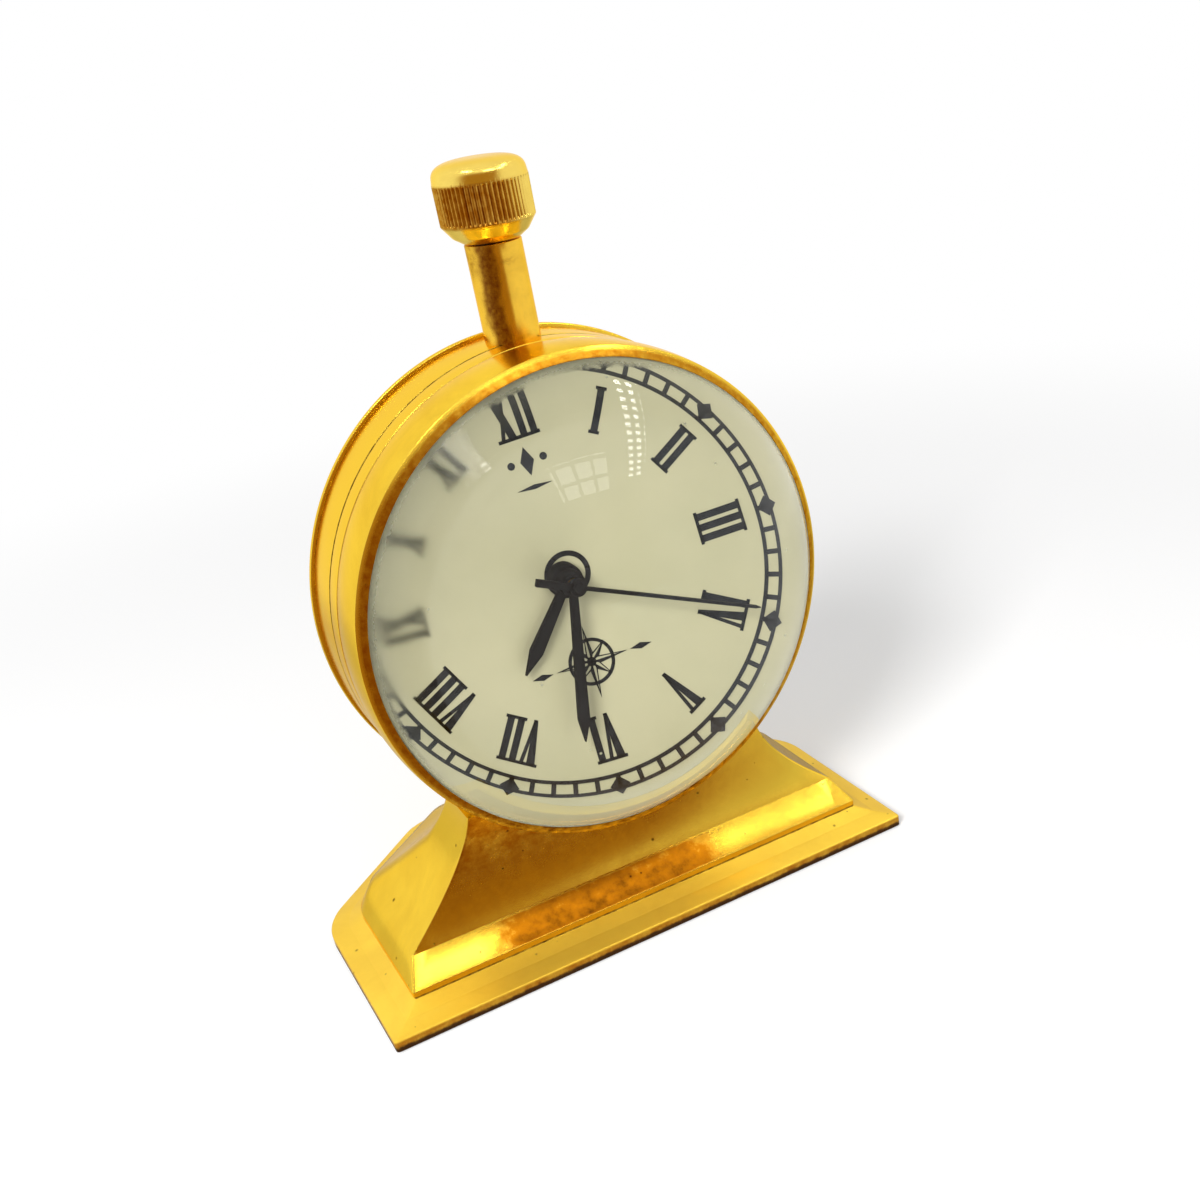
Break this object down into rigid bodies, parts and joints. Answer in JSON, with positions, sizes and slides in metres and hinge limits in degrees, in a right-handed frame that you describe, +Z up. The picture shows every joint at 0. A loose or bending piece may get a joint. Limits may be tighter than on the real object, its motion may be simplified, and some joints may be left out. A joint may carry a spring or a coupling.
{
  "type": "desk clock",
  "caption": "Brass drum desk clock on a moulded pedestal, with thick domed glass, hands, geared movement and a knurled setting knob on top.",
  "frame": {"origin": "on the desk, under the middle of the plinth", "axes": "+Z up, +Y to the clock's back, +X to the right seen from the front"},
  "size_m": [0.092, 0.0774, 0.1145],
  "materials": {
    "polished_brass": "polished, with brown tarnish",
    "plain_brass": "machined",
    "felt": "felt",
    "glass": "clear, polished",
    "gasket_rubber": "matt",
    "dial_paint": "pale cream lacquer with black print",
    "hand_black": "black lacquer",
    "steel": "ground",
    "holder_plastic": "moulded",
    "board_green": "lacquered board",
    "chip_black": "moulded",
    "copper_wire": "enamelled copper winding",
    "magnet": "sintered magnet"
  },
  "bodies": {
    "clock_case": {"base": "polished_brass", "base_felt": "felt", "base_screws": "steel", "screw_strap": "plain_brass", "drum_case": "polished_brass", "bezel": "polished_brass", "lens": "glass", "lens_gasket": "gasket_rubber", "dial_spacer": "polished_brass", "dial": "dial_paint", "back_cover": "polished_brass", "back_cover_screws": "steel", "stem_tube": "polished_brass", "tube_nut": "plain_brass", "movement_holder": "holder_plastic", "movement_clamps": "steel", "clamp_screws": "steel", "main_plate": "plain_brass", "motion_posts": "plain_brass", "train_bridge": "steel", "bridge_screws": "steel", "stator": "steel", "coil_core": "steel", "coil_winding": "copper_wire", "circuit_board": "board_green", "chip": "chip_black", "crystal_can": "steel", "battery": "steel", "battery_clip": "steel"},
    "clutch": {"clutch_wheel": "steel"},
    "knob": {"knob": "polished_brass", "setting_stem": "steel"},
    "setting_wheel": {"setting_wheel": "steel"},
    "motion_wheel": {"motion_wheel": "plain_brass"},
    "minute_hand": {"cannon_pinion": "plain_brass", "minute_hand": "hand_black"},
    "hour_hand": {"hour_wheel": "plain_brass", "hour_hand": "hand_black"},
    "setting_lever": {"setting_lever": "steel"},
    "second_hand": {"second_wheel": "plain_brass", "second_hand": "hand_black"},
    "rotor": {"rotor": "magnet"},
    "step_wheel": {"step_wheel": "plain_brass"},
    "third_wheel": {"third_wheel": "plain_brass"},
    "centre_wheel": {"centre_wheel": "plain_brass"}
  },
  "joints": [
    {"name": "knob_turn", "type": "hinge", "parent": "clock_case", "child": "clutch", "pos_m": [0, -0.0147, 0.0702], "axis": [0, 0, 1], "continuous": true},
    {"name": "knob_pull", "type": "slide", "parent": "clutch", "child": "knob", "axis": [0, 0, 1], "range_m": [0, 0.0012]},
    {"name": "setting_lever_swing", "type": "hinge", "parent": "clock_case", "child": "setting_lever", "pos_m": [0.0045, -0.0147, 0.0722], "axis": [0, 1, 0], "range_deg": [0, 16]},
    {"name": "setting_wheel_turn", "type": "hinge", "parent": "clock_case", "child": "setting_wheel", "pos_m": [0, -0.0147, 0.0674], "axis": [0, 1, 0], "continuous": true},
    {"name": "motion_wheel_turn", "type": "hinge", "parent": "clock_case", "child": "motion_wheel", "pos_m": [0, -0.0147, 0.0618], "axis": [0, 1, 0], "continuous": true},
    {"name": "minute_hand_turn", "type": "hinge", "parent": "clock_case", "child": "minute_hand", "pos_m": [0, -0.0147, 0.057], "axis": [0, 1, 0], "continuous": true},
    {"name": "hour_hand_turn", "type": "hinge", "parent": "clock_case", "child": "hour_hand", "pos_m": [0, -0.0147, 0.057], "axis": [0, 1, 0], "continuous": true},
    {"name": "second_hand_turn", "type": "hinge", "parent": "clock_case", "child": "second_hand", "pos_m": [0, -0.0147, 0.057], "axis": [0, 1, 0], "continuous": true},
    {"name": "step_wheel_turn", "type": "hinge", "parent": "clock_case", "child": "step_wheel", "pos_m": [-0.00364, -0.0147, 0.0549], "axis": [0, 1, 0], "continuous": true},
    {"name": "rotor_turn", "type": "hinge", "parent": "clock_case", "child": "rotor", "pos_m": [-0.00706, -0.0147, 0.05366], "axis": [0, 1, 0], "continuous": true},
    {"name": "third_wheel_turn", "type": "hinge", "parent": "clock_case", "child": "third_wheel", "pos_m": [0.00353, -0.0147, 0.05496], "axis": [0, 1, 0], "continuous": true},
    {"name": "centre_wheel_turn", "type": "hinge", "parent": "clock_case", "child": "centre_wheel", "pos_m": [0, -0.0147, 0.057], "axis": [0, 1, 0], "continuous": true}
  ],
  "couplings": [
    {"joint": "setting_lever_swing", "follows": "knob_pull", "rad_per_m": 224.94},
    {"joint": "setting_wheel_turn", "follows": "knob_turn", "ratio": 1},
    {"joint": "motion_wheel_turn", "follows": "knob_turn", "ratio": -0.55556},
    {"joint": "minute_hand_turn", "follows": "knob_turn", "ratio": 1.6667},
    {"joint": "hour_hand_turn", "follows": "knob_turn", "ratio": 0.13889},
    {"joint": "step_wheel_turn", "follows": "second_hand_turn", "ratio": -5},
    {"joint": "rotor_turn", "follows": "second_hand_turn", "ratio": 30},
    {"joint": "third_wheel_turn", "follows": "second_hand_turn", "ratio": -0.13333},
    {"joint": "centre_wheel_turn", "follows": "second_hand_turn", "ratio": 0.016667}
  ]
}
